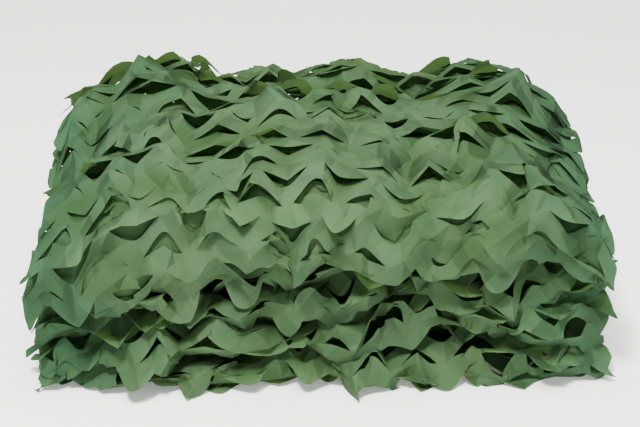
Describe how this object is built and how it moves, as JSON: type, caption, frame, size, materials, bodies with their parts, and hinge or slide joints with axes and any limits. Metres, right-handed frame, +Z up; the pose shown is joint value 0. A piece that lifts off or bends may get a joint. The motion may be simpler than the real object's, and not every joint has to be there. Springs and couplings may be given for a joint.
{
  "type": "folded camouflage netting",
  "caption": "Folded bundle of green leaf-cut camouflage netting: one slit cloth sheet in layers, used to cover or hide things.",
  "frame": {"origin": "bottom centre of the bundle's box, on the surface it rests on", "axes": "+X along the width of the cloth and the long side of the bundle, -Y to the front with the wide roll, +Z up"},
  "size_m": [0.6196, 0.4064, 0.2586],
  "materials": {
    "green_cloth": "matte woven polyester in plain sage green"
  },
  "bodies": {
    "root": {"net_cloth": "green_cloth"}
  },
  "joints": []
}
